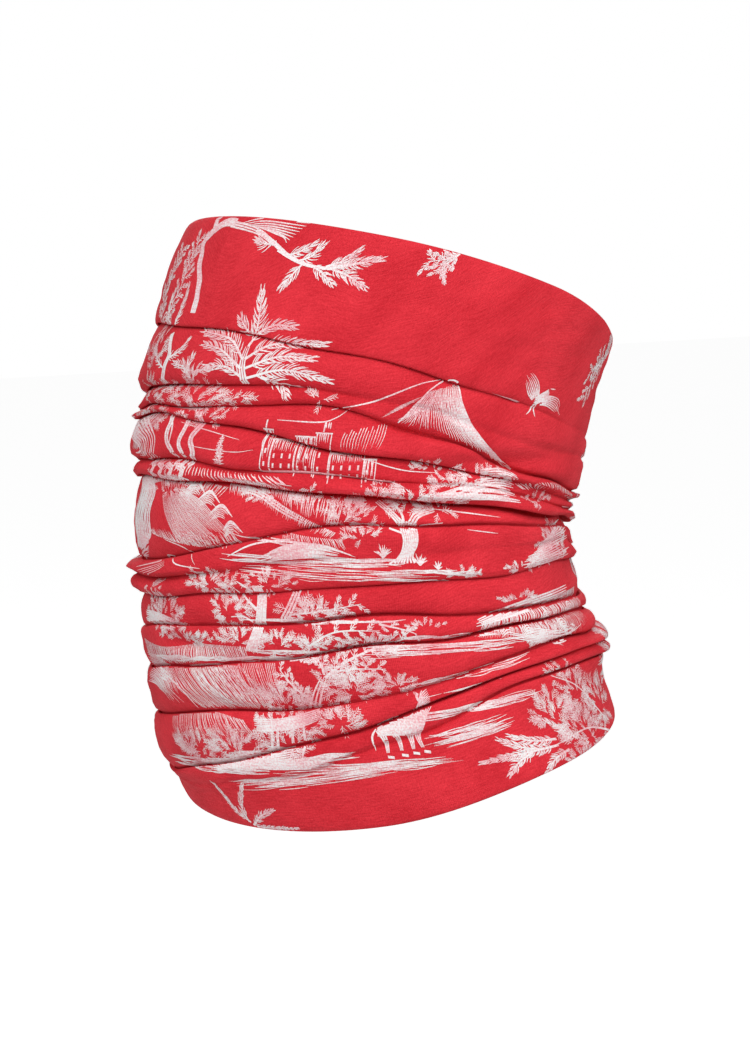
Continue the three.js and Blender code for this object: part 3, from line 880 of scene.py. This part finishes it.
# sprays on the lower band
plume([(11.5, -15), (6, -11), (1, -3.4)], 2.3, 0.85, 0.34)
plume([(10.8, -15), (10.6, -9), (15, -2)], 2.6, 0.85, 0.34)
plume([(12, -16), (17.5, -12), (23.6, -9.2)], 2.4, 0.85, 0.34)
plume([(13, -16.2), (23, -15.5), (30, -14.6)], 1.8, 0.85, 0.34)
foliage((134, 22), 9, 5.0, 46, 3.0, 0.26)
foliage((150, 27), 10, 5.0, 46, 3.0, 0.26)
foliage((148, 14), 15, 5.6, 80, 3.0, 0.26)
foliage((165, 22), 11, 7, 60, 3.0, 0.26)
foliage((144, 33), 9, 2, 16, 2.6, 0.26)
stroke([(165, 14), (152, 27), (138, 33)], 0.8, "branch")
stroke([(166, 10), (148, 14), (128, 11)], 0.8, "branch")
for path in ([(130, 13), (120, 13.6), (112, 16)], [(130, 11), (114, 10), (99, 8.4)],
             [(122, 10.6), (115, 12), (108, 15)], [(118, 10), (112, 7.6), (107, 4)],
             [(134, 9), (126, 6.6), (120, 2)], [(140, 12), (134, 15), (129, 19)]):
    plume(path, 3.2, 0.85, 0.34)
foliage((140, 5), 8, 2, 20, 2.4)


def height_share(across, share):
    """A place on the tube by its share of the way from the lower rim to the upper one."""
    turn = across / ACROSS_PER_TURN * FULL_TURN
    low, top = lower_rim(turn) / MM, upper_rim(turn) / MM
    return (across, low + (top - low) * share)


# the same wood, going on round the wearer's neck
for across in range(186, 436, 18):
    for share in (0.22, 0.4, 0.58):
        place = height_share(across + rng.uniform(-4, 4), share + rng.uniform(-0.03, 0.03))
        x, y = place
        kind = rng.integers(0, 4)
        if kind == 0:
            tree(place, 14, 11, 18)
        elif kind == 1:
            rock(place, 10, 5, 34)
            foliage((x + 8, y), 7, 3, 30)
        elif kind == 2:
            foliage(place, 11, 4.6, 80)
            ground((x - 10, y - 5), (x + 12, y - 5), 26, 2, 0.42, 12)
        else:
            sweep([(x - 4, y + 7), (x - 7, y + 3), (x - 14, y)],
                  [(x - 1, y + 8), (x + 5, y + 2), (x + 14, y - 1)],
                  30, 0.34, "leaf", 0.1)
            stroke([(x - 14, y), (x - 6, y + 4), (x - 2, y + 8), (x + 5, y + 2.4), (x + 14, y - 1)],
                   0.5, "bar")
    low = height_share(across + rng.uniform(-6, 6), 0.12)
    ground((low[0] - 9, low[1]), (low[0] + 11, low[1]), 26, 3, 0.45, 14)
    high = height_share(across + rng.uniform(-8, 8), 0.7)
    foliage(high, 8, 2.6, 30)
for across, share in ((212, 0.84), (262, 0.88), (318, 0.82), (372, 0.9), (410, 0.84)):
    x, y = height_share(across, share)
    frond([(x, y), (x + 6, y + 3), (x + 14, y + 2)], 4.4, 8, 0.8)
    frond([(x, y), (x - 5, y - 4), (x - 12, y - 6)], 4.0, 7, 0.8)
bird(*height_share(344, 0.8))
for across, share in ((196, 0.06), (240, 0.05), (300, 0.06), (356, 0.05), (404, 0.06)):
    x, y = height_share(across, share)
    frond([(x, y), (x - 3, y + 5), (x - 7, y + 9)], 3.4, 7, 0.7)
    frond([(x, y), (x + 4, y + 4), (x + 9, y + 6)], 3.4, 7, 0.7)

cloth_tree = BVHTree.FromObject(cloth, bpy.context.evaluated_depsgraph_get())
cloth_uv = cloth.data.uv_layers[0].data
RAY_START = 20 * MM  # from where, beyond the tube, the print is dropped on to the cloth
PRINT_LIFT = 0.07 * MM  # how far the print's film stands off the cloth, so that it is never cut
LIFTS, LIFT_STEP = 13, 0.006 * MM  # strokes that cross lie at heights of their own
FOLD_BREAK = 2.2 * MM  # cloth hidden between two neighbours that makes a stroke break


def lay_print(name, chosen):
    """Lay strokes on the cloth as one piece of thin film."""
    left = np.vstack([a for a, b in chosen])
    right = np.vstack([b for a, b in chosen])
    last = np.zeros(len(left), bool)
    last[np.cumsum([len(a) for a, b in chosen]) - 1] = True
    lift = np.concatenate([np.full(len(a), PRINT_LIFT + LIFT_STEP * (k * 5 % LIFTS))
                           for k, (a, b) in enumerate(chosen)])
    spots = np.vstack([left, right])
    turn = spots[:, 0] / ACROSS_PER_TURN * FULL_TURN
    height = spots[:, 1] * MM
    outside = tube_point(turn, RAY_START, height)
    inside = tube_point(turn, -RAY_START, height)
    bm = bmesh.new()
    bmesh.ops.create_grid(bm, x_segments=len(left) - 1, y_segments=1, size=1)
    uv = bm.loops.layers.uv.new("cloth")
    missing = np.zeros(len(spots), bool)
    up = np.zeros(len(spots))
    for i, vert in enumerate(bm.verts):
        start = Vector(outside[i])
        ahead = (Vector(inside[i]) - start).normalized()
        place, normal, face, _ = cloth_tree.ray_cast(start, ahead, 2 * RAY_START)
        if place is None:
            missing[i] = True
            continue
        facet = cloth.data.polygons[face]
        shares = poly_3d_calc([cloth.data.vertices[k].co for k in facet.vertices], place)
        up[i] = CLOTH_LENGTH * sum(share * cloth_uv[k].uv[1]
                                   for share, k in zip(shares, facet.loop_indices))
        vert.co = place - ahead * lift[i % len(left)]
    bm.faces.ensure_lookup_table()
    count = len(left)
    lost = missing[:count] | missing[count:]
    low = np.minimum(up[:count], up[count:])
    high = np.maximum(up[:count], up[count:])
    joined = np.maximum(high[:-1], high[1:]) - np.minimum(low[:-1], low[1:])
    broken = last[:-1] | lost[:-1] | lost[1:] | (joined > FOLD_BREAK)
    inward = []
    for i, face in enumerate(bm.faces):
        for loop in face.loops:
            k = loop.vert.index
            loop[uv].uv = (turn[k] / FULL_TURN, height[k] / CLOTH_LENGTH)
        face.normal_update()
        if face.normal.x * math.sin(turn[i]) - face.normal.y * math.cos(turn[i]) < 0:
            inward.append(face)
    bmesh.ops.reverse_faces(bm, faces=inward)
    bmesh.ops.delete(bm, geom=[bm.faces[i] for i in np.flatnonzero(broken)], context="FACES")
    return made_piece(name, bm)


middles = [float(np.mean(a[:, 0])) % ACROSS_PER_TURN for a, b in strokes]
PRINT_PIECES = ("print_front_left", "print_left", "print_back_left", "print_back_right",
                "print_right", "print_front_right")
print_parts = []
for k, name in enumerate(PRINT_PIECES):
    low, high = k * ACROSS_PER_TURN / 6, (k + 1) * ACROSS_PER_TURN / 6
    chosen = [each for each, middle in zip(strokes, middles) if low <= middle < high]
    print_parts.append(lay_print(name, chosen))

# Finishes ----------------------------------------------------------------------------------------


class Value:
    """What a node puts out. Sums on it add the Math nodes that work them out."""

    def __init__(self, finish, socket):
        self.finish, self.socket = finish, socket

    def math(self, operation, *values):
        return self.finish.node("Math", {"operation": operation}, dict(enumerate(values)))

    def __add__(self, other):
        return self.math("ADD", self, other)

    def __sub__(self, other):
        return self.math("SUBTRACT", self, other)

    def __rsub__(self, other):
        return self.math("SUBTRACT", other, self)

    def __mul__(self, other):
        return self.math("MULTIPLY", self, other)

    __radd__ = __add__
    __rmul__ = __mul__


class Finish:
    """A material, and the one way in which nodes are added to it."""

    def __init__(self, name):
        self.material = bpy.data.materials.new(name)
        self.material.use_nodes = True
        self.tree = self.material.node_tree
        self.shader = self.tree.nodes["Principled BSDF"]

    def put(self, socket, value):
        if isinstance(value, Value):
            self.tree.links.new(value.socket, socket)
        else:
            socket.default_value = value

    def node(self, kind, settings=None, sockets=None, out=0):
        node = self.tree.nodes.new("ShaderNode" + kind)
        for name, value in (settings or {}).items():
            if name == "stops":
                ramp = node.color_ramp.elements
                while len(ramp) < len(value):
                    ramp.new(0.5)
                for element, (position, colour) in zip(ramp, value):
                    element.position, element.color = position, (*colour, 1)
            else:
                setattr(node, name, value)
        for name, value in (sockets or {}).items():
            self.put(node.inputs[name], value)
        return Value(self, node.outputs[out])

    def mix(self, share, one, other):
        """A colour between two colours."""
        one, other = (c if isinstance(c, Value) else (*c, 1) for c in (one, other))
        return self.node("Mix", {"data_type": "RGBA"}, {0: share, 6: one, 7: other}, out=2)

    def set(self, **sockets):
        for name, value in sockets.items():
            self.put(self.shader.inputs[name.replace("_", " ").title()], value)


RED, DEEP_RED = (0.72, 0.030, 0.046), (0.50, 0.010, 0.020)
INK, INK_THIN = (0.82, 0.77, 0.775), (0.76, 0.34, 0.38)
REVERSE, REVERSE_DEEP = (0.80, 0.42, 0.45), (0.72, 0.30, 0.34)


WALE, COURSE = 0.62, 0.5  # millimetres from one wale, or one course, to the next
KNIT_RELIEF = 0.00016


def knit(finish):
    """Fine single jersey: its wales and courses, streaks along the courses, and a soft grain."""
    uv = finish.node("UVMap", {"uv_map": "cloth"})
    round_mm = finish.node("SeparateXYZ", {}, {0: uv}) * (CLOTH_ROUND / MM)
    up_mm = finish.node("SeparateXYZ", {}, {0: uv}, out=1) * (CLOTH_LENGTH / MM)

    def grain(across, along, detail):
        place = finish.node("CombineXYZ", {}, {0: round_mm * across, 1: up_mm * along})
        return finish.node("TexNoise", {"noise_dimensions": "2D"},
                           {"Vector": place, "Scale": 1.0, "Detail": detail})

    return {
        "wale": finish.node("Math", {"operation": "SINE"}, {0: round_mm * (FULL_TURN / WALE)}),
        "course": finish.node("Math", {"operation": "SINE"}, {0: up_mm * (FULL_TURN / COURSE)}),
        "streak": grain(0.22, 2.2, 3.0),
        "grain": grain(1.5, 1.7, 2.0),
        "wear": grain(0.05, 0.05, 3.0),
    }


def knit_bump(finish, parts, strength):
    height = (parts["wale"] * 0.35 + parts["course"] * 0.2 + parts["grain"] * 1.1
              + parts["streak"] * 1.2)
    return finish.node("Bump", {}, {"Strength": strength, "Distance": KNIT_RELIEF, "Height": height})


def printed_knit():
    finish = Finish("printed knit")
    parts = knit(finish)
    tone = parts["streak"] * 0.55 + parts["grain"] * 0.5 + parts["wear"] * 0.5
    tone = finish.node("ValToRGB", {"stops": [(0.52, (0, 0, 0)), (1.0, (1, 1, 1))]}, {0: tone})
    finish.set(base_color=finish.mix(tone, RED, DEEP_RED), roughness=parts["grain"] * 0.12 + 0.74,
               normal=knit_bump(finish, parts, 0.55))
    finish.shader.inputs["Specular IOR Level"].default_value = 0.2
    finish.shader.inputs["Sheen Weight"].default_value = 0.02
    finish.shader.inputs["Sheen Roughness"].default_value = 0.45
    finish.shader.inputs["Sheen Tint"].default_value = (1.0, 0.55, 0.58, 1)
    return finish.material


def reverse_knit():
    finish = Finish("reverse of the knit")
    parts = knit(finish)
    tone = parts["streak"] * 0.6 + parts["grain"] * 0.4
    finish.set(base_color=finish.mix(tone, REVERSE, REVERSE_DEEP), roughness=parts["grain"] * 0.1 + 0.8,
               normal=knit_bump(finish, parts, 0.6))
    finish.shader.inputs["Specular IOR Level"].default_value = 0.2
    return finish.material


def edge_knit():
    """The rolled raw edge: the printed face, paler where the cut thread shows."""
    finish = Finish("curled edge")
    parts = knit(finish)
    tone = finish.node("ValToRGB", {"stops": [(0.50, (0, 0, 0)), (0.72, (1, 1, 1))]},
                       {0: parts["grain"] * 0.6 + parts["streak"] * 0.4})
    finish.set(base_color=finish.mix(tone, DEEP_RED, REVERSE_DEEP),
               roughness=parts["grain"] * 0.1 + 0.8, normal=knit_bump(finish, parts, 0.6))
    return finish.material


def white_print():
    finish = Finish("white print")
    parts = knit(finish)
    worn = parts["grain"] * 0.5 + parts["streak"] * 0.25 + parts["wear"] * 0.55
    thin = finish.node("ValToRGB", {"stops": [(0.56, (0, 0, 0)), (0.80, (1, 1, 1))]}, {0: worn})
    finish.set(base_color=finish.mix(thin, INK, INK_THIN), roughness=parts["grain"] * 0.1 + 0.72,
               normal=knit_bump(finish, parts, 0.5))
    finish.shader.inputs["Specular IOR Level"].default_value = 0.25
    return finish.material


printed, reverse, edge, ink = printed_knit(), reverse_knit(), edge_knit(), white_print()

# Rolled raw edges ------------------------------------------------------------------------------

# The edge's path in from the rim's top, as (out, up) in millimetres.
ROLL = [(-0.95, -0.55), (-1.25, -0.3), (-1.7, -0.22), (-2.25, -0.4), (-2.65, -0.95),
        (-2.6, -1.6), (-2.15, -2.05), (-1.6, -2.0), (-1.35, -1.6)]


EDGE_THICKNESS = 0.45 * MM


def edge_roll(name, rim, row, sign):
    """A raw edge of the jersey, rolled inward along a rim. Sign is 1 at the top, -1 below."""
    level = rim(turns)
    uneven = 1 + ripple(300 + sign, turns, level, 0.1, 5, 24)
    steps = ROLL if sign > 0 else [(out, up) for out, up in reversed(ROLL)]
    outs = np.array([row_out[row] + EDGE_INSET + out * MM * (uneven if out < -1.3 else 1)
                     for out, up in steps])
    ups = np.array([level + sign * up * MM * uneven for out, up in steps])
    runs = np.vstack([0 * turns, np.cumsum(np.hypot(np.diff(outs, axis=0), np.diff(ups, axis=0)),
                                           axis=0)])
    roll = tube_mesh(name, tube_point(turns[None, :], outs, ups), runs)
    wall = roll.modifiers.new("cloth thickness", "SOLIDIFY")
    wall.thickness, wall.offset = EDGE_THICKNESS, -1
    roll.data.materials.append(edge)
    return roll


rolls = [edge_roll("upper_edge_roll", upper_rim, -1, 1), edge_roll("lower_edge_roll", lower_rim, 0, -1)]
thick = cloth.modifiers.new("cloth thickness", "SOLIDIFY")
thick.thickness, thick.offset = CLOTH_THICKNESS, -1
thick.material_offset = thick.material_offset_rim = 1
for knit_side in (printed, reverse):
    cloth.data.materials.append(knit_side)
bpy.context.view_layer.update()
for piece in [cloth] + rolls:
    finish_modifiers(piece)
for part in print_parts:
    part.data.materials.append(ink)

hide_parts("lower_band", "fold_1", "fold_2", "fold_3", "fold_4", "fold_5", "fold_6",
            "upper_band")
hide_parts("upper_edge_curl")
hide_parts("lower_edge_curl")
for piece in [cloth] + rolls + print_parts:
    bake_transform(piece)

# Camera, light and floor -------------------------------------------------------------------------

scene = bpy.context.scene
scene.view_settings.view_transform = "Standard"
camera_data = bpy.data.cameras.new("camera")
camera = bpy.data.objects.new("camera", camera_data)
scene.collection.objects.link(camera)
scene.camera = camera
azimuth, elevation, distance = math.radians(52), math.radians(7), 1.15
aim = Vector((0, 0, 0.0771))
away = Vector((math.sin(azimuth) * math.cos(elevation), -math.cos(azimuth) * math.cos(elevation),
               math.sin(elevation)))
camera.location = aim + away * distance
camera.rotation_euler = away.to_track_quat("Z", "Y").to_euler()
camera_data.sensor_fit = "HORIZONTAL"
camera_data.sensor_width = 36
camera_data.lens = 160.896


def light(name, turn, height, reach, size, power):
    data = bpy.data.lights.new(name, "AREA")
    data.shape = "DISK"
    data.size = size
    data.energy = power
    lamp = bpy.data.objects.new(name, data)
    turn = math.radians(turn)
    lamp.location = aim + Vector((math.sin(turn) * reach, -math.cos(turn) * reach, height))
    lamp.rotation_euler = (lamp.location - aim).to_track_quat("Z", "Y").to_euler()
    scene.collection.objects.link(lamp)


light("key", 52, 1.0, 1.5, 1.4, 34)
light("right side", -40, 0.8, 1.6, 1.0, 11)
light("left side", 138, 0.8, 1.6, 1.0, 14)
light("fill", 232, 0.6, 1.6, 1.2, 16)
world = bpy.data.worlds.new("studio")
scene.world = world
world.use_nodes = True
studio = world.node_tree
backdrop = studio.nodes["Background"]
seen = studio.nodes.new("ShaderNodeLightPath")
level = studio.nodes.new("ShaderNodeMapRange")
level.inputs["To Min"].default_value, level.inputs["To Max"].default_value = 0.09, 1.0
studio.links.new(seen.outputs["Is Camera Ray"], level.inputs["Value"])
studio.links.new(level.outputs[0], backdrop.inputs["Strength"])
backdrop.inputs["Color"].default_value = (1, 1, 1, 1)

FLOOR_SIZE, FLOOR_LEVEL = 8, -0.6
bm = bmesh.new()
bmesh.ops.create_grid(bm, x_segments=1, y_segments=1, size=FLOOR_SIZE)
bmesh.ops.translate(bm, verts=bm.verts, vec=(0, 0, FLOOR_LEVEL))
floor_piece = made_piece("floor", bm)
paper = Finish("pale floor")
lit = paper.node("LightPath") * 0.93 + 0.07  # the floor looks white, and still throws little light
paper.set(base_color=(0.8, 0.8, 0.8, 1), roughness=0.9,
          emission_color=paper.node("CombineColor", {}, {0: lit, 1: lit, 2: lit}))
paper.shader.inputs["Emission Strength"].default_value = 0.9
floor_piece.data.materials.append(paper.material)
